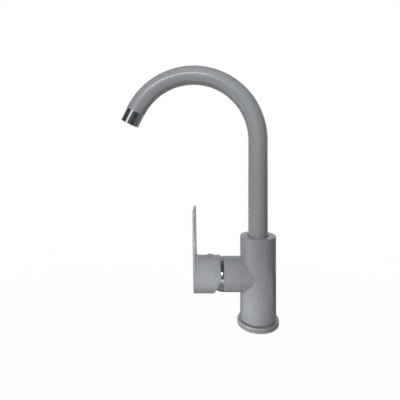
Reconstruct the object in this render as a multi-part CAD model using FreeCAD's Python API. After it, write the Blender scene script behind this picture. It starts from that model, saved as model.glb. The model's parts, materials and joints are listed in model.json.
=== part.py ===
import FreeCAD, Part
import math
import os

# Kitchen mixer tap with a swan-neck spout and a side lever.
# Millimetres. Z is up, the deck is the plane z = 0, and the lever is on the -X side.

Vector = FreeCAD.Vector
X_AXIS = Vector(1, 0, 0)
Y_AXIS = Vector(0, 1, 0)
Z_AXIS = Vector(0, 0, 1)
ORIGIN = Vector(0, 0, 0)
tiny = 0.001
overlap = 1.0

# Clearances
thread_gap = 0.05
running_gap = 0.10
slide_gap = 0.15
free_gap = 0.30

# Column of the body
column_r = 23.0
column_top = 113.0
column_round = 0.9
column_chamfer = 0.5

# Base ring and its seal
base_ring_r = 26.7
base_ring_height = 6.4
base_ring_round = 1.6
base_ring_foot_round = 0.6
shadow_gap = 0.7
shadow_gap_depth = 1.6
seal_land = 2.2
seal_width = 3.8
seal_thickness = 1.8
seal_inset = 1.7

# Deck side of the column: threaded holes and cast-out core
stud_hole_r = 3.4
stud_hole_depth = 18.0
stud_x = 7.0
stud_rib_width = 14.0
stud_rib_top = 24.0
hose_hole_r = 4.5
hose_hole_depth = 12.0
hose_x = -10.0
hose_y = 8.0
core_x = 1.0
core_wall = 3.5
core_mouth_height = 12.0
core_top = 50.0

# Water ways
inlet_way_r = 3.4
outlet_way_r = 4.5
outlet_way_x = -4.0
throat_r = 9.0

# Side housing for the cartridge, measured outwards from the column's axis
side_z = 63.3
housing_r = 22.0
seat_w = 20.0
housing_depth = 24.6
housing_end = seat_w + housing_depth
housing_chamfer = 0.4
junction_round = 0.8

# Spout socket in the top of the column
socket_floor = 83.0
thrust_ring_thickness = 1.3
glide_ring_height = 5.4
glide_ring_recess = 0.6
glide_ring_wall = 1.1

# Spout tube
tube_r = 12.5
tube_wall = 1.5
tube_foot_z = 100.0
arc_r = 86.0
arc_z = 236.0
arc_sweep = 152.8
spout_turn = 5.0

# Spout foot
foot_grip = 12.0
foot_bore_r = 8.5
o_ring_section_r = 1.05
o_ring_groove_depth = 2.1
o_ring_groove_width = 2.6
o_ring_low_z = 87.3
o_ring_high_z = 96.5
screw_z = 91.5
screw_groove_depth = 2.0
screw_groove_width = 3.6
screw_point_r = 1.6
screw_r = 2.5
screw_chamfer = 0.35
hex_key = 2.5
hex_depth = 2.4

# Aerator on the end of the spout
tip_r = 10.75
tip_length = 7.0
aerator_r = 12.2
aerator_length = 18.4
aerator_thread_r = 9.25
aerator_thread_length = 6.0
aerator_bore_r = 8.6
aerator_lip_r = 7.6
aerator_lip_s = 15.6
aerator_mouth_r = 10.9
aerator_mouth_depth = 2.2
aerator_chamfer = 0.5
insert_top_s = -1.5
insert_jet_r = 0.9
insert_jet_circle_r = 5.2
insert_jet_count = 8
screen_thickness = 0.7
screen_hole_r = 0.7
screen_pitch = 2.1
screen_rows = 3
gasket_thickness = 1.2
gasket_width = 2.0

# Cartridge, which stands on the seat in the housing
cartridge_r = 17.5
base_flange_thickness = 2.3
base_neck_thickness = 2.7
port_a = 5.5
port_b = 5.5
port_r = 2.6
outlet_port_r = 3.4
port_seal_r = 4.3
port_seal_thickness = 1.6
chamber_r = 15.3
disc_thickness = 3.4
fixed_disc_r = 14.9
moving_disc_r = 12.8
mix_pocket_r = 6.8
mix_pocket_a = -1.5
mix_pocket_depth = 1.8
carrier_r = 12.0
carrier_thickness = 2.6
carrier_boss_r = 6.0
carrier_boss_height = 3.2
rotor_flange_thickness = 3.2
rotor_neck_r = 11.6
rotor_neck_length = 11.1
shell_shoulder_thickness = 2.2
shell_neck_r = 13.2
shell_neck_length = 7.0
nut_r = 18.9
nut_height = 5.6
nut_chamfer = 0.4
thread_run_out = 2.1
nut_slot_count = 6
nut_slot_width = 3.0
nut_slot_depth = 1.6

# Stem and its pivot pin
pivot_w = housing_end
pin_r = 1.5
pin_fit = 0.06
stem_side = 8.2
stem_chamfer = 0.7
stem_reach = 32.0
stem_back = 4.2
stem_arm_r = 2.4
ball_r = 3.0
ball_reach = 9.0
stem_lift = 10.0
lever_travel = 22.0

# Dome cap
dome_r = 21.8
dome_wall = 1.2
dome_gap = 0.6
dome_opening_r = 16.2
dome_skirt_height = 2.0

# Lever handle
lever_mouth_gap = 4.1
lever_mouth_w = housing_end + lever_mouth_gap
lever_depth = 33.8
lever_face_w = lever_mouth_w + lever_depth
lever_r = 23.4
lever_cut_start = 1.5
lever_cut_angle = 20.0
lever_edge_round = 0.8
lever_mouth_chamfer = 0.4
hub_r = 8.5
hub_start = 12.5
blade_width = 45.0
blade_top = 85.6
blade_root_thickness = 2.9
blade_corner_r = 9.0
blade_edge_round = 0.35
blade_lean = 1.3
blade_bend = 42.0
blade_upper_lean = 0.2
blade_inner_lean = 1.0
blade_root_r = 3.2
plug_set_back = 13.4
plug_w = lever_mouth_w + plug_set_back
plug_r = 4.1
plug_floor = 18.0
plug_proud = 2.0
plug_crown = 0.9
lever_screw_length = 9.0

# Places that follow from the sizes above
column_foot = base_ring_height + shadow_gap
spigot_r = base_ring_r - seal_inset - seal_width - seal_land
socket_r = tube_r + running_gap
glide_ring_r = tube_r + running_gap + glide_ring_wall
glide_ring_top = column_top - glide_ring_recess
glide_ring_floor = glide_ring_top - glide_ring_height
foot_floor = socket_floor + thrust_ring_thickness
tube_bore_r = tube_r - tube_wall
pocket_r = cartridge_r + slide_gap
base_neck_w = seat_w + base_flange_thickness
fixed_disc_w = base_neck_w + base_neck_thickness
moving_disc_w = fixed_disc_w + disc_thickness
carrier_w = moving_disc_w + disc_thickness
carrier_top_w = carrier_w + carrier_thickness
rotor_w = carrier_top_w + free_gap
rotor_neck_w = rotor_w + rotor_flange_thickness
shell_roof_w = rotor_neck_w + free_gap
shoulder_w = shell_roof_w + shell_shoulder_thickness
thread_w = shoulder_w - thread_run_out
cavity_r = dome_r + dome_gap
slide_rest = -ball_reach * math.sin(math.radians(stem_lift))
slide_open = ball_reach * math.sin(math.radians(lever_travel - stem_lift))


def rod(radius, z0, z1, x=0.0, y=0.0):
    """A cylinder along Z from z0 to z1."""
    return Part.makeCylinder(radius, z1 - z0, Vector(x, y, z0))


def ring(outer, inner, z0, z1):
    """A hollow cylinder on the Z axis."""
    return rod(outer, z0, z1).cut(rod(inner, z0, z1))


def block(x0, x1, y0, y1, z0, z1):
    """A box between two corners."""
    return Part.makeBox(x1 - x0, y1 - y0, z1 - z0, Vector(x0, y0, z0))


def rod_along_x(radius, x0, x1, y, z):
    """A cylinder along X from x0 to x1."""
    return Part.makeCylinder(radius, x1 - x0, Vector(x0, y, z), X_AXIS)


def ball(radius, z):
    """A sphere on the Z axis."""
    return Part.makeSphere(radius, Vector(0, 0, z))


def hexagon(across_flats, z0, z1):
    """A hexagonal prism on the Z axis."""
    corner = across_flats / math.sqrt(3)
    points = []
    for step in range(7):
        turn = math.radians(60 * step)
        points.append(Vector(corner * math.cos(turn), corner * math.sin(turn), z0))
    return Part.Face(Part.makePolygon(points)).extrude(Vector(0, 0, z1 - z0))


def circles_at(shape, radius, z):
    """The circular edges of one radius at one height."""
    found = []
    for edge in shape.Edges:
        curve = edge.Curve
        if not isinstance(curve, Part.Circle):
            continue
        if abs(curve.Radius - radius) < tiny and abs(curve.Center.z - z) < tiny:
            found.append(edge)
    return found


def rounded(shape, round_r, radius, z):
    """The shape with the circular edges of one radius and height rounded."""
    return shape.makeFillet(round_r, circles_at(shape, radius, z))


def chamfered(shape, size, radius, z):
    """The shape with the circular edges of one radius and height chamfered."""
    return shape.makeChamfer(size, circles_at(shape, radius, z))


def on_side(shape):
    """From the side frame (X up, Y back, Z outwards) to the tap's frame."""
    return shape.rotated(ORIGIN, Y_AXIS, -90).translated(Vector(0, 0, side_z))


def on_stem(shape):
    """From the stem's own frame (Z outwards from the pivot) to the side frame."""
    return shape.rotated(ORIGIN, Y_AXIS, stem_lift).translated(Vector(0, 0, pivot_w))


def at_tip(shape):
    """From the aerator's frame (Z out of the end of the tube) to the unturned spout."""
    angle = math.radians(arc_sweep)
    tip = Vector(arc_r * math.cos(angle) - arc_r, 0, arc_z + arc_r * math.sin(angle))
    return shape.rotated(ORIGIN, Y_AXIS, -arc_sweep).translated(tip)


def swivelled(shape):
    """The spout group, turned to where the spout points at rest."""
    return shape.rotated(ORIGIN, Z_AXIS, -spout_turn)


def save(name, *shapes):
    """Write one node, as one solid or as a group of separate solids."""
    solids = []
    for shape in shapes:
        solids.extend(shape.Solids)
    node = solids[0] if len(solids) == 1 else Part.makeCompound(solids)
    node.exportStep("parts/" + name + ".step")


def grub_screw(radius, z0, z1):
    """A socket screw with no head along Z, its hexagon in the z1 end."""
    screw = chamfered(rod(radius, z0, z1), screw_chamfer, radius, z1)
    return screw.cut(hexagon(hex_key, z1 - hex_depth, z1))


# Body, base ring and seal

def water_ways():
    """The channels from the hose holes to the cartridge, and on to the spout."""
    inlet_z = side_z + port_a
    outlet_z = side_z - port_a
    ways = []
    for side in (-1, 1):
        ways.append(rod(hose_hole_r, 0, hose_hole_depth, hose_x, side * hose_y))
        ways.append(rod(inlet_way_r, hose_hole_depth, inlet_z + inlet_way_r, hose_x, side * hose_y))
        ways.append(rod_along_x(port_r, -seat_w, hose_x, side * port_b, inlet_z))
    ways.append(rod_along_x(outlet_port_r, -seat_w, outlet_way_x, 0, outlet_z))
    ways.append(rod(outlet_way_r, outlet_z - outlet_way_r, socket_floor - throat_r, outlet_way_x))
    ways.append(rod(throat_r, socket_floor - throat_r, socket_floor))
    return ways


def cast_core():
    """The hollow on the right of the column, open at the deck on each side of the stud's rib."""
    mouth = rod(spigot_r - core_wall, 0, core_mouth_height)
    chest = rod(column_r - core_wall, core_mouth_height, core_top)
    right = block(core_x, column_r, -column_r, column_r, 0, core_top)
    rib = block(core_x, column_r, -stud_rib_width / 2, stud_rib_width / 2, 0, stud_rib_top)
    return mouth.fuse(chest).common(right).cut(rib)


def socket():
    """The bore for the spout's foot, with a wider mouth for the glide ring."""
    bore = rod(socket_r, socket_floor, glide_ring_floor)
    mouth = rod(glide_ring_r + thread_gap, glide_ring_floor, column_top)
    return bore.fuse(mouth)


def cartridge_pocket():
    """The stepped bore in the side housing: cartridge first, then the nut's thread."""
    pocket = rod(pocket_r, seat_w, thread_w)
    thread = rod(nut_r + running_gap, thread_w, housing_end)
    return on_side(pocket.fuse(thread))


def tap_body():
    column = rod(column_r, column_foot, column_top)
    column = rounded(column, column_round, column_r, column_top)
    column = chamfered(column, column_chamfer, column_r, column_foot)
    housing = rod(housing_r, 0, housing_end)
    housing = chamfered(housing, housing_chamfer, housing_r, housing_end)
    casting = column.fuse(on_side(housing)).removeSplitter()
    seam = []
    for edge in casting.Edges:
        middle = edge.valueAt((edge.FirstParameter + edge.LastParameter) / 2)
        across = math.hypot(middle.x, middle.y)
        around = math.hypot(middle.y, middle.z - side_z)
        if abs(across - column_r) < tiny and abs(around - housing_r) < tiny:
            seam.append(edge)
    casting = casting.makeFillet(junction_round, seam)
    casting = casting.fuse(rod(spigot_r, 0, column_foot)).removeSplitter()
    hollows = water_ways()
    hollows.append(cast_core())
    hollows.append(socket())
    hollows.append(cartridge_pocket())
    hollows.append(rod(stud_hole_r, 0, stud_hole_depth, stud_x))
    hollows.append(on_back(rod(screw_r + thread_gap, 0, column_r)))
    return casting.cut(hollows)


def on_back(shape):
    """From a frame with Z out of the column's back to the tap's frame, at the spout screw."""
    return shape.rotated(ORIGIN, X_AXIS, -90).translated(Vector(0, 0, screw_z))


def base_ring():
    disc = rod(base_ring_r, 0, base_ring_height)
    disc = rounded(disc, base_ring_round, base_ring_r, base_ring_height)
    disc = rounded(disc, base_ring_foot_round, base_ring_r, 0)
    land = rod(column_r - shadow_gap_depth, 0, column_foot)
    groove = ring(base_ring_r - seal_inset, spigot_r + seal_land, 0, seal_thickness)
    return disc.fuse(land).cut([rod(spigot_r + running_gap, 0, column_foot), groove]).removeSplitter()


def base_seal():
    outer = base_ring_r - seal_inset - thread_gap
    inner = spigot_r + seal_land + thread_gap
    return ring(outer, inner, 0, seal_thickness)


# Spout bearing

def glide_ring():
    return ring(glide_ring_r, socket_r, glide_ring_floor, glide_ring_top)


def thrust_ring():
    return ring(tube_r, throat_r + free_gap, socket_floor, foot_floor)


def spout_screw():
    groove_r = tube_r - screw_groove_depth
    thread = grub_screw(screw_r, tube_r + free_gap, column_r - free_gap)
    point = rod(screw_point_r, groove_r + free_gap, tube_r + free_gap)
    return on_back(thread.fuse(point))


def spout_foot():
    plug_in = rod(tube_bore_r - thread_gap, tube_foot_z, tube_foot_z + foot_grip)
    journal = rod(tube_r, foot_floor, tube_foot_z)
    cuts = [rod(foot_bore_r, foot_floor, tube_foot_z + foot_grip)]
    for z in (o_ring_low_z, o_ring_high_z):
        half = o_ring_groove_width / 2
        cuts.append(ring(tube_r + overlap, tube_r - o_ring_groove_depth, z - half, z + half))
    half = screw_groove_width / 2
    cuts.append(ring(tube_r + overlap, tube_r - screw_groove_depth, screw_z - half, screw_z + half))
    return plug_in.fuse(journal).cut(cuts)


def spout_o_rings():
    middle_r = socket_r - thread_gap - o_ring_section_r
    rings = []
    for z in (o_ring_low_z, o_ring_high_z):
        rings.append(Part.makeTorus(middle_r, o_ring_section_r, Vector(0, 0, z)))
    return rings


# Spout tube and aerator

def spout_tube():
    straight = ring(tube_r, tube_bore_r, tube_foot_z, arc_z)
    section = Part.Face(Part.Wire(Part.makeCircle(tube_r, Vector(0, 0, arc_z))))
    hole = Part.Face(Part.Wire(Part.makeCircle(tube_bore_r, Vector(0, 0, arc_z))))
    arc_centre = Vector(-arc_r, 0, arc_z)
    bend = section.revolve(arc_centre, Y_AXIS, -arc_sweep)
    bore = hole.revolve(arc_centre, Y_AXIS, -arc_sweep)
    return straight.fuse(bend.cut(bore)).removeSplitter()


def spout_tip():
    return ring(tip_r, aerator_thread_r + thread_gap, -tip_length, 0)


def aerator_shell():
    outer = rod(aerator_r, free_gap, aerator_length)
    outer = chamfered(outer, aerator_chamfer, aerator_r, aerator_length)
    thread = rod(aerator_thread_r, -aerator_thread_length, free_gap)
    bore = rod(aerator_bore_r, -aerator_thread_length, aerator_lip_s)
    lip = rod(aerator_lip_r, aerator_lip_s, aerator_length)
    mouth_s = aerator_length - aerator_mouth_depth
    mouth = Part.makeCone(aerator_lip_r, aerator_mouth_r, aerator_mouth_depth, Vector(0, 0, mouth_s))
    return outer.fuse(thread).cut([bore, lip, mouth]).removeSplitter()


def aerator_insert():
    screen_s = aerator_lip_s - screen_thickness
    body = rod(aerator_bore_r - running_gap, insert_top_s, screen_s)
    jets = [rod(insert_jet_r, insert_top_s, screen_s)]
    for step in range(insert_jet_count):
        turn = 2 * math.pi * step / insert_jet_count
        jet_x = insert_jet_circle_r * math.cos(turn)
        jet_y = insert_jet_circle_r * math.sin(turn)
        jets.append(rod(insert_jet_r, insert_top_s, screen_s, jet_x, jet_y))
    return body.cut(jets)


def aerator_screen():
    """A thin disc with holes in a honeycomb, under the jets."""
    screen_s = aerator_lip_s - screen_thickness
    holes = []
    for row in range(-screen_rows, screen_rows + 1):
        for column in range(-screen_rows, screen_rows + 1):
            if abs(row + column) > screen_rows:
                continue
            hole_x = screen_pitch * (column + row / 2)
            hole_y = screen_pitch * row * math.sqrt(3) / 2
            holes.append(rod(screen_hole_r, screen_s, aerator_lip_s, hole_x, hole_y))
    return rod(aerator_bore_r - running_gap, screen_s, aerator_lip_s).cut(holes)


def aerator_gasket():
    outer = aerator_bore_r - running_gap
    return ring(outer, outer - gasket_width, insert_top_s - gasket_thickness, insert_top_s)


# Cartridge, in the side frame

def port_places():
    """Centre and radius of the two inlets and the outlet."""
    inlets = [(port_a, side * port_b, port_r) for side in (-1, 1)]
    return inlets + [(-port_a, 0, outlet_port_r)]


def seal_outer_r(port_radius):
    return port_radius + port_seal_r - port_r


def port_holes(w0, w1):
    return [rod(radius, w0, w1, a, b) for a, b, radius in port_places()]


def cartridge_base():
    flange = rod(cartridge_r - running_gap, seat_w, base_neck_w)
    neck = rod(chamber_r - running_gap, base_neck_w, fixed_disc_w)
    seats = []
    for a, b, radius in port_places():
        seats.append(rod(seal_outer_r(radius), seat_w, seat_w + port_seal_thickness, a, b))
    return flange.fuse(neck).cut(port_holes(seat_w, fixed_disc_w) + seats)


def port_seals():
    seals = []
    for a, b, radius in port_places():
        outer = rod(seal_outer_r(radius) - thread_gap, seat_w, seat_w + port_seal_thickness, a, b)
        seals.append(outer.cut(rod(radius, seat_w, seat_w + port_seal_thickness, a, b)))
    return seals


def fixed_disc():
    return rod(fixed_disc_r, fixed_disc_w, moving_disc_w).cut(port_holes(fixed_disc_w, moving_disc_w))


def moving_disc():
    """The sliding disc, with the blind pocket that joins the inlets to the outlet."""
    disc = rod(moving_disc_r, moving_disc_w, carrier_w, slide_rest)
    pocket = rod(mix_pocket_r, moving_disc_w, moving_disc_w + mix_pocket_depth, slide_rest + mix_pocket_a)
    return disc.cut(pocket)


def disc_carrier():
    """The plate on the sliding disc, with the socket that the stem's ball drives."""
    boss_top = carrier_top_w + carrier_boss_height
    ball_low = pivot_w - ball_reach - ball_r - free_gap
    plate = rod(carrier_r, carrier_w, carrier_top_w, slide_rest)
    boss = rod(carrier_boss_r, carrier_top_w, boss_top, slide_rest)
    well = rod(ball_r + slide_gap, ball_low, boss_top, slide_rest)
    return plate.fuse(boss).cut(well)


def cartridge_rotor():
    top_w = rotor_neck_w + rotor_neck_length
    boss_room = carrier_boss_r + slide_gap
    boss_travel = max(-slide_rest, slide_open) + carrier_boss_r + free_gap
    stem_room = stem_side / 2 + free_gap
    widest_lean = math.radians(max(stem_lift, lever_travel - stem_lift))
    stem_sweep = stem_room + max(stem_back, top_w - pivot_w) * math.tan(widest_lean)
    flange = rod(chamber_r - 2 * slide_gap, rotor_w, rotor_neck_w)
    neck = rod(rotor_neck_r, rotor_neck_w, top_w)
    boss_slot = block(-boss_travel, boss_travel, -boss_room, boss_room, rotor_w, rotor_neck_w)
    stem_slot = block(-stem_sweep, stem_sweep, -stem_room, stem_room, rotor_neck_w, top_w)
    return flange.fuse(neck).cut([boss_slot, stem_slot, pin_rod(pin_r + pin_fit, rotor_neck_r)])


def pin_rod(radius, half_length):
    """A cylinder on the pivot's axis, in the side frame."""
    return Part.makeCylinder(radius, 2 * half_length, Vector(0, -half_length, pivot_w), Y_AXIS)


def pivot_pin():
    return pin_rod(pin_r, rotor_neck_r - running_gap)


def cartridge_shell():
    barrel = rod(cartridge_r, base_neck_w, shoulder_w)
    neck = rod(shell_neck_r, shoulder_w, shoulder_w + shell_neck_length)
    chamber = rod(chamber_r, base_neck_w, shell_roof_w)
    neck_bore = rod(rotor_neck_r + slide_gap, shell_roof_w, shoulder_w + shell_neck_length)
    return barrel.fuse(neck).cut([chamber, neck_bore]).removeSplitter()


def cartridge_nut():
    top_w = shoulder_w + nut_height
    nut = ring(nut_r, shell_neck_r + slide_gap, shoulder_w, top_w)
    nut = chamfered(nut, nut_chamfer, nut_r, top_w)
    slots = []
    for step in range(nut_slot_count):
        slot = block(0, nut_r * 2, -nut_slot_width / 2, nut_slot_width / 2, top_w - nut_slot_depth, top_w)
        slots.append(slot.rotated(ORIGIN, Z_AXIS, 360 * step / nut_slot_count))
    return nut.cut(slots)


def dome_cap():
    """The chrome shroud over the nut: a ball zone centred on the pivot, with a skirt on the nut."""
    inner_r = dome_r - dome_wall
    shell = ball(dome_r, pivot_w).cut(ball(inner_r, pivot_w))
    skirt = ring(inner_r + dome_wall / 2, nut_r + running_gap, housing_end, housing_end + dome_skirt_height)
    inside = rod(dome_r * 2, housing_end - dome_r * 2, housing_end)
    opening = rod(dome_opening_r, housing_end, pivot_w + dome_r * 2)
    return shell.fuse(skirt.common(ball(dome_r, pivot_w))).cut([inside, opening]).removeSplitter()


# Stem and lever handle

def square_bar(side, z0, z1):
    return block(-side / 2, side / 2, -side / 2, side / 2, z0, z1)


def cartridge_stem():
    bar = square_bar(stem_side, -stem_back, stem_reach)
    corners = []
    for edge in bar.Edges:
        ends = [vertex.Point for vertex in edge.Vertexes]
        if abs(ends[0].z - ends[1].z) > stem_side:
            corners.append(edge)
    bar = bar.makeChamfer(stem_chamfer, corners)
    arm = rod(stem_arm_r, -ball_reach, -stem_back)
    stem = bar.fuse([arm, ball(ball_r, -ball_reach)])
    return on_stem(stem).cut(pin_rod(pin_r + pin_fit, stem_side))


def blade():
    """The flat plate: rounded top corners, broken edges, its outer face leaning outwards."""
    half = blade_width / 2
    shoulder = blade_top - blade_corner_r
    inset = blade_corner_r * (1 - math.sqrt(0.5))
    left = Part.Arc(
        Vector(shoulder, -half, 0),
        Vector(blade_top - inset, inset - half, 0),
        Vector(blade_top, blade_corner_r - half, 0),
    )
    right = Part.Arc(
        Vector(blade_top, half - blade_corner_r, 0),
        Vector(blade_top - inset, half - inset, 0),
        Vector(shoulder, half, 0),
    )
    flat = half - blade_corner_r
    outline = Part.Wire([
        Part.makeLine(Vector(0, -half, 0), Vector(shoulder, -half, 0)),
        left.toShape(),
        Part.makeLine(Vector(blade_top, -flat, 0), Vector(blade_top, flat, 0)),
        right.toShape(),
        Part.makeLine(Vector(shoulder, half, 0), Vector(0, half, 0)),
        Part.makeLine(Vector(0, half, 0), Vector(0, -half, 0)),
    ])
    depth = 2 * lever_face_w
    silhouette = Part.Face(outline).extrude(Vector(0, 0, depth))
    lower = blade_bend * math.tan(math.radians(blade_lean))
    upper = (blade_top - blade_bend) * math.tan(math.radians(blade_upper_lean))
    lean = (lever_r + blade_root_r) * math.tan(math.radians(blade_inner_lean))
    inner_w = lever_face_w - blade_root_thickness + lean
    side = [
        (0, inner_w),
        (0, lever_face_w),
        (blade_bend, lever_face_w + lower),
        (blade_top, lever_face_w + lower + upper),
        (blade_top, inner_w + blade_top * math.tan(math.radians(blade_inner_lean))),
    ]
    corners = [Vector(a, -blade_width, w) for a, w in side + side[:1]]
    slab = Part.Face(Part.makePolygon(corners)).extrude(Vector(0, 2 * blade_width, 0))
    plate = slab.common(silhouette).removeSplitter()
    rim = []
    for edge in plate.Edges:
        ends = [vertex.Point for vertex in edge.Vertexes]
        middle = edge.valueAt((edge.FirstParameter + edge.LastParameter) / 2)
        on_side_line = abs(abs(middle.y) - half) < tiny and abs(ends[0].x - ends[-1].x) > blade_corner_r
        on_top_round = middle.x > shoulder and abs(ends[0].y - ends[-1].y) > tiny
        if on_side_line or on_top_round:
            rim.append(edge)
    return plate.makeFillet(blade_edge_round, rim)


def blade_root():
    """The concave cove between the blade's inner face and the round cap."""
    lean = (lever_r + blade_root_r) * math.tan(math.radians(blade_inner_lean))
    inner_w = lever_face_w - blade_root_thickness + lean
    start = Vector(lever_r, 0, inner_w - blade_root_r)
    end = Vector(lever_r + blade_root_r, 0, inner_w)
    corner = Vector(lever_r - overlap, 0, inner_w + blade_root_thickness / 2)
    bulge = blade_root_r * (1 - math.sqrt(0.5))
    cove = Part.Arc(start, Vector(lever_r + bulge, 0, inner_w - bulge), end)
    outline = Part.Wire([
        cove.toShape(),
        Part.makeLine(end, Vector(end.x, 0, corner.z)),
        Part.makeLine(Vector(end.x, 0, corner.z), corner),
        Part.makeLine(corner, Vector(corner.x, 0, start.z)),
        Part.makeLine(Vector(corner.x, 0, start.z), start),
    ])
    half = blade_width / 2 - blade_edge_round
    ring_of_cove = Part.Face(outline).revolve(ORIGIN, Z_AXIS, 360)
    return ring_of_cove.common(block(0, lever_r * 2, -half, half, 0, lever_face_w))


def lever_mouth_cut():
    """The slanted cut that gives the cap's lower side room to swing towards the housing."""
    drop = 2 * lever_r
    slant = (drop + lever_cut_start) * math.tan(math.radians(lever_cut_angle))
    points = [
        (lever_cut_start, lever_mouth_w),
        (-drop, lever_mouth_w + slant),
        (-drop, housing_end),
        (lever_cut_start, housing_end),
    ]
    corners = [Vector(a, -drop, w) for a, w in points + points[:1]]
    return Part.Face(Part.makePolygon(corners)).extrude(Vector(0, 2 * drop, 0))


def lever_handle():
    cap = rod(lever_r, lever_mouth_w, lever_face_w)
    cap = rounded(cap, lever_edge_round, lever_r, lever_face_w)
    cap = chamfered(cap, lever_mouth_chamfer, lever_r, lever_mouth_w)
    outside = cap.fuse([blade(), blade_root()]).removeSplitter()
    hub = on_stem(rod(hub_r, hub_start, 2 * cavity_r))
    hollow = ball(cavity_r, pivot_w).cut(hub)
    stem_hole = on_stem(square_bar(stem_side + 2 * running_gap, hub_start, stem_reach + free_gap))
    screw_hole = on_top(rod(screw_r + thread_gap, 0, lever_r))
    plug_hole = on_top(rod(plug_r + running_gap, plug_floor, lever_r * 2))
    return outside.cut([hollow, stem_hole, screw_hole, plug_hole, lever_mouth_cut()])


def on_top(shape):
    """From a frame with Z out of the cap's top to the side frame, at the index plug."""
    return shape.rotated(ORIGIN, Y_AXIS, 90).translated(Vector(0, 0, plug_w))


def lever_screw():
    lift = math.radians(stem_lift)
    stem_top = (plug_w - pivot_w) * math.tan(lift) + stem_side / 2 / math.cos(lift)
    low = stem_top + screw_r * math.tan(lift) + slide_gap
    return on_top(grub_screw(screw_r, low, low + lever_screw_length))


def index_plug():
    top = lever_r + plug_proud
    crown_r = (plug_r ** 2 + plug_crown ** 2) / (2 * plug_crown)
    return on_top(rod(plug_r, plug_floor, top).common(ball(crown_r, top - crown_r)))


save("tap_body", tap_body())
save("base_ring", base_ring())
save("base_seal", base_seal())
save("glide_ring", glide_ring())
save("thrust_ring", thrust_ring())
save("spout_screw", spout_screw())
save("cartridge_base", on_side(cartridge_base()))
save("port_seals", *[on_side(seal) for seal in port_seals()])
save("fixed_disc", on_side(fixed_disc()))
save("cartridge_shell", on_side(cartridge_shell()))
save("cartridge_nut", on_side(cartridge_nut()))
save("dome_cap", on_side(dome_cap()))

save("spout_tube", swivelled(spout_tube()))
save("spout_foot", swivelled(spout_foot()))
save("spout_o_rings", *[swivelled(o_ring) for o_ring in spout_o_rings()])
save("spout_tip", swivelled(at_tip(spout_tip())))
save("aerator_shell", swivelled(at_tip(aerator_shell())))
save("aerator_insert", swivelled(at_tip(aerator_insert())))
save("aerator_screen", swivelled(at_tip(aerator_screen())))
save("aerator_gasket", swivelled(at_tip(aerator_gasket())))

save("cartridge_rotor", on_side(cartridge_rotor()))
save("pivot_pin", on_side(pivot_pin()))
save("moving_disc", on_side(moving_disc()))
save("disc_carrier", on_side(disc_carrier()))
save("cartridge_stem", on_side(cartridge_stem()))
save("lever_handle", on_side(lever_handle()))
save("lever_screw", on_side(lever_screw()))
save("index_plug", on_side(index_plug()))
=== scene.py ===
import json
import math

import bpy
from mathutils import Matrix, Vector

# Kitchen mixer tap with a granite-effect coat: camera, light, floor and finishes.
# Metres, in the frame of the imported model: Z is up, the deck is z = 0, the lever is towards -X,
# and the photograph looks along +Y. Colours are linear.

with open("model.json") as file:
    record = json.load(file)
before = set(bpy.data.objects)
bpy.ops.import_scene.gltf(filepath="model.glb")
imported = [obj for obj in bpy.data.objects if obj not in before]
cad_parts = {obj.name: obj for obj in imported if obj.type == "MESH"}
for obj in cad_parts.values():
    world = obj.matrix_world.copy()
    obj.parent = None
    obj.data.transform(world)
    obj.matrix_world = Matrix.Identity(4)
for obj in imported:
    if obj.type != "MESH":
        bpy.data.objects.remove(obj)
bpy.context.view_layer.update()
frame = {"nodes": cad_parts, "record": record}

# Camera
CAMERA_PLACE = (-0.05675, -0.41011, 0.22233)
CAMERA_TURN = (90.0, 0.0, 0.0)
CAMERA_LENS = 28.492
CAMERA_SENSOR = 36.0
CAMERA_SHIFT = (-0.0355, -0.1229)

# Open lamps: place, aim, width and height, power in watts, colour, whether the gloss shows them
WHITE = (1.00, 1.00, 1.00)
COOL = (1.00, 0.99, 1.02)
OPEN_BEAM = 180
LAMPS = {
    "glint": ((-1.40, -3.50, 1.52), (-0.09, 0.0, 0.28), (1.60, 0.60), 23.0, WHITE, True),
    "front_left": ((-0.64, -0.82, 0.26), (-0.07, 0.0, 0.17), (0.30, 0.30), 3.02, COOL, False),
    "high": ((-0.05, -0.30, 0.55), (-0.03, 0.0, 0.365), (0.14, 0.14), 0.877, (0.98, 1.00, 0.99), False),
    "back": ((0.20, 0.95, 0.45), (-0.05, 0.0, 0.17), (0.40, 0.40), 10.0, WHITE, False),
}

# Small lamps with a narrow beam: place, aim, power in watts
SPOT_SIZE = (0.05, 0.05)
SPOT_BEAM = 14
SPOTS = {
    "base": ((-0.345, -0.289, 0.05), (0.0, 0.0, 0.01), 0.0076),
    "cap": ((0.008, -0.443, 0.05), (-0.07, 0.0, 0.058), 0.0042),
    "housing": ((-0.473, -0.078, 0.05), (-0.03, 0.0, 0.063), 0.0034),
    "blade_side": ((-0.428, -0.289, 0.05), (-0.083, 0.0, 0.12), 0.0100),
    "blade_front": ((-0.005, -0.443, 0.20), (-0.083, 0.0, 0.12), 0.0096),
}

# Even light from all sides
FILL_STRENGTH = 0.043
FILL_COLOUR = (0.95, 1.00, 0.97)

# Floor: distance from the tap, share of plain white in what the camera sees, and its strength
FLOOR_HALF = 6.0
FLOOR_COLOUR = (0.45, 0.45, 0.45)
FLOOR_ROUGHNESS = 0.9
FLOOR_NEAR = (0.15, 0.93, 1.04)
FLOOR_FAR = (0.70, 1.00, 1.00)

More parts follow.
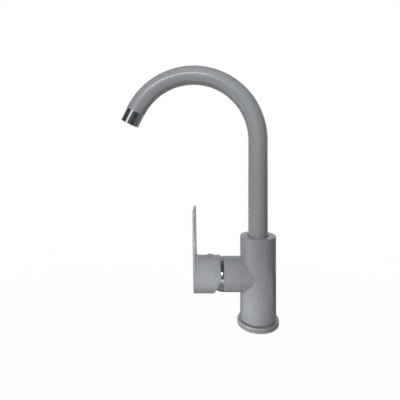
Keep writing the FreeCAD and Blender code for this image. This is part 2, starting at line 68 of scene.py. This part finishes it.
# The grey room and the soft box that the tap's shiny parts show: two opposite corners, colour
CARDS = {
    "card_left": ((-4.0, -4.0, 0.0), (-4.0, 2.5, 2.8), (0.065, 0.072, 0.083)),
    "card_front": ((-4.0, -4.0, 0.0), (4.0, -4.0, 2.8), (0.080, 0.088, 0.102)),
    "card_right": ((4.0, -4.0, 0.0), (4.0, 2.0, 2.8), (0.130, 0.140, 0.135)),
    "card_roof": ((-4.0, -4.0, 2.8), (4.0, 1.0, 2.8), (0.072, 0.080, 0.088)),
    "card_roof_back": ((-4.0, 1.0, 2.8), (4.0, 4.5, 2.8), (0.300, 0.310, 0.320)),
    "card_back": ((-4.0, 4.4, 0.0), (4.0, 4.4, 2.8), (0.420, 0.425, 0.430)),
    "card_soft_box": ((-3.7, -3.9, 0.42), (-0.55, -3.9, 2.05), (0.980, 1.000, 1.030)),
    "card_floor_front": ((-4.0, -4.0, 0.001), (0.08, -0.22, 0.001), (0.130, 0.140, 0.160)),
    "card_floor_dark": ((0.08, -4.0, 0.001), (4.0, -0.29, 0.001), (0.055, 0.062, 0.074)),
    "card_floor_right": ((0.18, -0.29, 0.001), (4.0, 0.15, 0.001), (0.125, 0.140, 0.140)),
    "card_floor_rear": ((0.24, 0.15, 0.001), (4.0, 0.60, 0.001), (0.200, 0.215, 0.210)),
    "card_floor_behind": ((-4.0, 0.15, 0.001), (0.24, 4.0, 0.001), (0.330, 0.340, 0.350)),
    # Painted shade: a dark card for the tap's own shadow on the floor just behind it, as the shiny
    # parts show it
    "card_floor_shade": ((-0.30, 0.0, 0.0014), (0.24, 0.15, 0.0014), (0.110, 0.120, 0.115)),
    "card_floor_back": ((0.24, 0.60, 0.001), (4.0, 4.0, 0.001), (0.330, 0.345, 0.340)),
}

# The deck near the tap as its shiny parts show it: centre, radii in shade and in light, and edge
DECK_CENTRE = (-0.045, 0.0, 0.0012)
DECK_SHADE = (0.065, (0.235, 0.255, 0.225))
DECK_LIGHT = (0.160, (0.880, 0.880, 0.880))
DECK_EDGE = 0.24
DECK_SIDES = 48

# Noise stays mostly between these two values
NOISE_LOW = 0.3
NOISE_HIGH = 0.7

# Granite coat: clear layer, then the flecks' spacing, outline and shares, then relief
COAT_COLOUR = (0.330, 0.340, 0.354)
COAT_SPECULAR = 0.4
COAT_CLEAR = 1.0
COAT_CLEAR_ROUGHNESS = 0.125
COAT_ROUGHNESS = (0.42, 0.50)
COAT_ROUGHNESS_SIZE = 0.0030
FLECK_SPACING = 0.0011
FLECK_EDGE = (0.32, 0.46)
FLECK_WANDER_SIZE = 0.0009
FLECK_WANDER = (0.0007, 0.0007, 0.0007)
DARK_FLECKS_BELOW = 0.16
DARK_FLECK_SHADE = -0.36
LIGHT_FLECKS_ABOVE = 0.86
LIGHT_FLECK_SHADE = 0.26
MOTTLE_SIZE = 0.0022
MOTTLE = (0.955, 1.045)
COAT_GRAIN_SIZE = 0.0006
COAT_FLECK_RELIEF = 0.4
COAT_RELIEF = (0.00001, 0.12)

# Chrome plate: wipe marks in its roughness, and a faint wave
CHROME_COLOUR = (0.63, 0.64, 0.66)
CHROME_MARK_SIZE = 0.004
CHROME_MARKS = (0.35, 0.75)
CHROME_ROUGHNESS = (0.05, 0.11)
CHROME_WAVE_SIZE = 0.010
CHROME_RELIEF = (0.00001, 0.06)

# Turned metal: stains, tool marks and how far the roughness goes either way
METAL_STAIN_SIZE = 0.005
METAL_STAIN = (0.85, 1.05)
METAL_MARK_SIZE = 0.0004
METAL_ROUGHNESS_SPAN = 0.07
METAL_RELIEF = (0.00001, 0.4)

# Mouldings: stains, relief and how far the roughness goes either way
MOULD_STAIN_SIZE = 0.004
MOULD_STAIN = (0.93, 1.07)
MOULD_ROUGHNESS_SPAN = 0.05
MOULD_RELIEF = (0.00002, 0.4)


# Building blocks for node materials

def add(tree, kind, values=(), **settings):
    """A new node: its settings, then its sockets, each a value or another node's output."""
    made = tree.nodes.new("ShaderNode" + kind)
    for name, value in settings.items():
        setattr(made, name, value)
    for name, value in dict(values).items():
        if isinstance(value, bpy.types.NodeSocket):
            tree.links.new(value, made.inputs[name])
        else:
            made.inputs[name].default_value = value
    return made


def number(tree, operation, *terms):
    """The result of one operation on numbers."""
    return add(tree, "Math", enumerate(terms), operation=operation).outputs[0]


def remap(tree, value, low, high, to_low, to_high):
    """A number moved from one range to another, and held inside it."""
    ranges = {"Value": value, "From Min": low, "From Max": high, "To Min": to_low, "To Max": to_high}
    return add(tree, "MapRange", ranges).outputs["Result"]


def noise(tree, place, size, detail=2.0, roughness=0.5):
    """Soft noise from 0 to 1, whose spots are about this size in metres."""
    values = {"Vector": place, "Scale": 1.0 / size, "Detail": detail, "Roughness": roughness}
    return add(tree, "TexNoise", values).outputs["Fac"]


def spread(tree, value, ends):
    """Noise spread over the range between these two ends."""
    return remap(tree, value, NOISE_LOW, NOISE_HIGH, *ends)


def new_material(name, values):
    """A material with one Principled shader, and the tree and place that its textures use."""
    material = bpy.data.materials.new(name)
    material.use_nodes = True
    tree = material.node_tree
    shader = tree.nodes["Principled BSDF"]
    for socket, value in values.items():
        shader.inputs[socket].default_value = value
    place = add(tree, "TexCoord").outputs["Object"]
    return material, tree, shader, place


def tint(tree, shader, colour, shade):
    """The shader's base colour: this colour, made darker or lighter by the shade."""
    scaled = add(tree, "VectorMath", {0: colour, "Scale": shade}, operation="SCALE")
    tree.links.new(scaled.outputs["Vector"], shader.inputs["Base Color"])


def bump(tree, shader, height, relief):
    """Relief on the shader: a depth in metres for heights from 0 to 1, and a strength."""
    depth, strength = relief
    made = add(tree, "Bump", {"Height": height, "Distance": depth, "Strength": strength})
    tree.links.new(made.outputs["Normal"], shader.inputs["Normal"])


# Materials

def granite_coat():
    """Satin grey coat with fine dark and light flecks and a slight orange peel."""
    material, tree, shader, place = new_material("granite_coat", {
        "Specular IOR Level": COAT_SPECULAR,
        "Coat Weight": COAT_CLEAR,
        "Coat Roughness": COAT_CLEAR_ROUGHNESS,
    })
    wander = add(tree, "TexNoise", {
        "Vector": place,
        "Scale": 1.0 / FLECK_WANDER_SIZE,
        "Detail": 2.0,
    }).outputs["Color"]
    crooked = add(tree, "VectorMath", {0: wander, 1: FLECK_WANDER, 2: place},
                  operation="MULTIPLY_ADD").outputs["Vector"]
    fleck = add(tree, "TexVoronoi", {"Vector": crooked, "Scale": 1.0 / FLECK_SPACING})
    draw = add(tree, "SeparateColor", {"Color": fleck.outputs["Color"]}).outputs["Red"]
    spot = remap(tree, fleck.outputs["Distance"], *FLECK_EDGE, 1.0, 0.0)
    dark = number(tree, "MULTIPLY", number(tree, "LESS_THAN", draw, DARK_FLECKS_BELOW), spot)
    light = number(tree, "MULTIPLY", number(tree, "GREATER_THAN", draw, LIGHT_FLECKS_ABOVE), spot)
    mottle = spread(tree, noise(tree, place, MOTTLE_SIZE, 3.0), MOTTLE)
    shade = number(tree, "MULTIPLY_ADD", dark, DARK_FLECK_SHADE, mottle)
    shade = number(tree, "MULTIPLY_ADD", light, LIGHT_FLECK_SHADE, shade)
    tint(tree, shader, COAT_COLOUR, shade)
    grain = noise(tree, place, COAT_GRAIN_SIZE)
    gloss = spread(tree, noise(tree, place, COAT_ROUGHNESS_SIZE), COAT_ROUGHNESS)
    tree.links.new(gloss, shader.inputs["Roughness"])
    height = number(tree, "MULTIPLY_ADD", spot, COAT_FLECK_RELIEF, grain)
    bump(tree, shader, height, COAT_RELIEF)
    return material


def chrome():
    """Bright chrome plate with faint wipe marks."""
    material, tree, shader, place = new_material("chrome", {
        "Base Color": (*CHROME_COLOUR, 1.0),
        "Metallic": 1.0,
    })
    marks = noise(tree, place, CHROME_MARK_SIZE, 4.0, 0.6)
    gloss = remap(tree, marks, *CHROME_MARKS, *CHROME_ROUGHNESS)
    tree.links.new(gloss, shader.inputs["Roughness"])
    bump(tree, shader, noise(tree, place, CHROME_WAVE_SIZE, 1.0), CHROME_RELIEF)
    return material


def turned_metal(name, colour, roughness):
    """Machined metal, with fine irregular tool marks."""
    material, tree, shader, place = new_material(name, {
        "Metallic": 1.0,
    })
    tint(tree, shader, colour, spread(tree, noise(tree, place, METAL_STAIN_SIZE, 4.0), METAL_STAIN))
    marks = noise(tree, place, METAL_MARK_SIZE, 3.0)
    ends = (roughness - METAL_ROUGHNESS_SPAN, roughness + METAL_ROUGHNESS_SPAN)
    tree.links.new(spread(tree, marks, ends), shader.inputs["Roughness"])
    bump(tree, shader, marks, METAL_RELIEF)
    return material


def moulded(name, colour, roughness, grain_size):
    """Moulded plastic, rubber or ceramic, with a fine grain and a little colour variation."""
    material, tree, shader, place = new_material(name, {})
    tint(tree, shader, colour, spread(tree, noise(tree, place, MOULD_STAIN_SIZE, 3.0), MOULD_STAIN))
    grain = noise(tree, place, grain_size)
    ends = (roughness - MOULD_ROUGHNESS_SPAN, roughness + MOULD_ROUGHNESS_SPAN)
    tree.links.new(spread(tree, grain, ends), shader.inputs["Roughness"])
    bump(tree, shader, grain, MOULD_RELIEF)
    return material


# Colour, roughness and, for mouldings, the grain's size in metres
MATERIALS = {
    "granite_coat": granite_coat(),
    "chrome": chrome(),
    "brass": turned_metal("brass", (0.78, 0.60, 0.33), 0.30),
    "steel": turned_metal("steel", (0.56, 0.57, 0.58), 0.28),
    "white_plastic": moulded("white_plastic", (0.78, 0.78, 0.76), 0.35, 0.0006),
    "dark_plastic": moulded("dark_plastic", (0.035, 0.036, 0.040), 0.45, 0.0006),
    "grey_plastic": moulded("grey_plastic", (0.29, 0.30, 0.31), 0.40, 0.0006),
    "rubber": moulded("rubber", (0.018, 0.018, 0.019), 0.60, 0.0005),
    "ceramic": moulded("ceramic", (0.82, 0.81, 0.78), 0.18, 0.0009),
}


def dress_nodes():
    """Gives each CAD node the material of its slot in the record."""
    for part in frame["record"]["subparts"]:
        for place in frame["nodes"][part["node"]].material_slots:
            place.material = MATERIALS[part["material_slot"]]


# Stage

def whitened(tree, shade, white, share):
    """For camera, glossy and transmission rays this share of a plain white is mixed in."""
    rays = add(tree, "LightPath")
    seen = number(tree, "MAXIMUM", rays.outputs["Is Camera Ray"], rays.outputs["Is Glossy Ray"])
    seen = number(tree, "MAXIMUM", seen, rays.outputs["Is Transmission Ray"])
    part = number(tree, "MULTIPLY", seen, share)
    return add(tree, "MixShader", {0: part, 1: shade, 2: white}).outputs[0]


def flat_piece(name, corners, material):
    """One flat piece of the stage between these corners."""
    mesh = bpy.data.meshes.new(name)
    mesh.from_pydata(corners, [], [tuple(range(len(corners)))])
    mesh.materials.append(material)
    material.cycles.emission_sampling = "NONE"
    piece = bpy.data.objects.new(name, mesh)
    bpy.context.scene.collection.objects.link(piece)
    return piece


def make_floor():
    """A pale floor that keeps the tap's shadow near it and is plain white further off."""
    material, tree, shader, place = new_material("floor", {
        "Base Color": (*FLOOR_COLOUR, 1.0),
        "Roughness": FLOOR_ROUGHNESS,
        "Specular IOR Level": 0.0,
    })
    (near, near_share, near_strength), (far, far_share, far_strength) = FLOOR_NEAR, FLOOR_FAR
    away = add(tree, "VectorMath", {0: place}, operation="LENGTH").outputs["Value"]
    share = remap(tree, away, near, far, near_share, far_share)
    strength = remap(tree, away, near, far, near_strength, far_strength)
    white = add(tree, "Emission", {"Color": (*WHITE, 1.0), "Strength": strength}).outputs[0]
    out = tree.nodes["Material Output"]
    tree.links.new(whitened(tree, shader.outputs[0], white, share), out.inputs["Surface"])
    h = FLOOR_HALF
    flat_piece("floor", [(-h, -h, 0), (h, -h, 0), (h, h, 0), (-h, h, 0)], material)


def make_card(name, corners, colour):
    """A card that only glossy rays meet. Returns its tree and its glow."""
    material = bpy.data.materials.new(name)
    material.use_nodes = True
    tree = material.node_tree
    glow = add(tree, "Emission", {"Color": (*colour, 1.0), "Strength": 1.0})
    tree.links.new(glow.outputs[0], tree.nodes["Material Output"].inputs["Surface"])
    card = flat_piece(name, corners, material)
    card.visible_camera = False
    card.visible_diffuse = False
    card.visible_shadow = False
    card.visible_transmission = False
    return tree, glow


def make_cards():
    """The room's cards, each a rectangle that is level or upright."""
    for name, ((x0, y0, z0), (x1, y1, z1), colour) in CARDS.items():
        if x0 == x1:
            corners = [(x0, y0, z0), (x0, y1, z0), (x0, y1, z1), (x0, y0, z1)]
        else:
            corners = [(x0, y0, z0), (x1, y0, z0), (x1, y1, z1), (x0, y1, z1)]
        make_card(name, corners, colour)


def make_deck_card():
    """A round card under the tap, which glows less in the tap's own shade."""
    cx, cy, cz = DECK_CENTRE
    (shade_radius, shade_colour), (light_radius, light_colour) = DECK_SHADE, DECK_LIGHT
    turns = [2.0 * math.pi * step / DECK_SIDES for step in range(DECK_SIDES)]
    rim = [(cx + DECK_EDGE * math.cos(turn), cy + DECK_EDGE * math.sin(turn), cz) for turn in turns]
    tree, glow = make_card("card_deck", rim, light_colour)
    place = add(tree, "TexCoord").outputs["Object"]
    away = add(tree, "VectorMath", {0: place, 1: DECK_CENTRE}, operation="DISTANCE").outputs["Value"]
    share = remap(tree, away, shade_radius, light_radius, 0.0, 1.0)
    ends = {0: share, 6: (*shade_colour, 1.0), 7: (*light_colour, 1.0)}
    blend = add(tree, "Mix", ends, data_type="RGBA").outputs[2]
    tree.links.new(blend, glow.inputs["Color"])


def make_world():
    """A weak even light, behind a background that is seen as plain white."""
    world = bpy.data.worlds.new("studio")
    world.use_nodes = True
    tree = world.node_tree
    fill = tree.nodes["Background"]
    fill.inputs["Color"].default_value = (*FILL_COLOUR, 1.0)
    fill.inputs["Strength"].default_value = FILL_STRENGTH
    white = add(tree, "Background", {"Color": (*WHITE, 1.0), "Strength": 1.0}).outputs[0]
    out = tree.nodes["World Output"]
    tree.links.new(whitened(tree, fill.outputs[0], white, 1.0), out.inputs["Surface"])
    bpy.context.scene.world = world


def make_lamp(name, place, aim, size, beam, power, colour, in_gloss):
    """One rectangular lamp. The beam is in degrees."""
    data = bpy.data.lights.new(name, "AREA")
    data.shape = "RECTANGLE"
    data.size, data.size_y = size
    data.spread = math.radians(beam)
    data.energy = power
    data.color = colour
    lamp = bpy.data.objects.new(name, data)
    lamp.location = place
    lamp.visible_glossy = in_gloss
    lamp.rotation_euler = (Vector(aim) - Vector(place)).to_track_quat("-Z", "Y").to_euler()
    bpy.context.scene.collection.objects.link(lamp)


def make_lamps():
    for name, (place, aim, size, power, colour, in_gloss) in LAMPS.items():
        make_lamp(name, place, aim, size, OPEN_BEAM, power, colour, in_gloss)
    for name, (place, aim, power) in SPOTS.items():
        make_lamp(name, place, aim, SPOT_SIZE, SPOT_BEAM, power, COOL, False)


def make_camera():
    """A level camera whose picture is shifted instead of tilted."""
    data = bpy.data.cameras.new("camera")
    data.lens = CAMERA_LENS
    data.sensor_width = CAMERA_SENSOR
    data.shift_x, data.shift_y = CAMERA_SHIFT
    camera = bpy.data.objects.new("camera", data)
    camera.location = CAMERA_PLACE
    camera.rotation_euler = [math.radians(turn) for turn in CAMERA_TURN]
    bpy.context.scene.collection.objects.link(camera)
    bpy.context.scene.camera = camera


dress_nodes()
make_floor()
make_cards()
make_deck_card()
make_world()
make_lamps()
make_camera()
bpy.context.scene.view_settings.view_transform = "Standard"
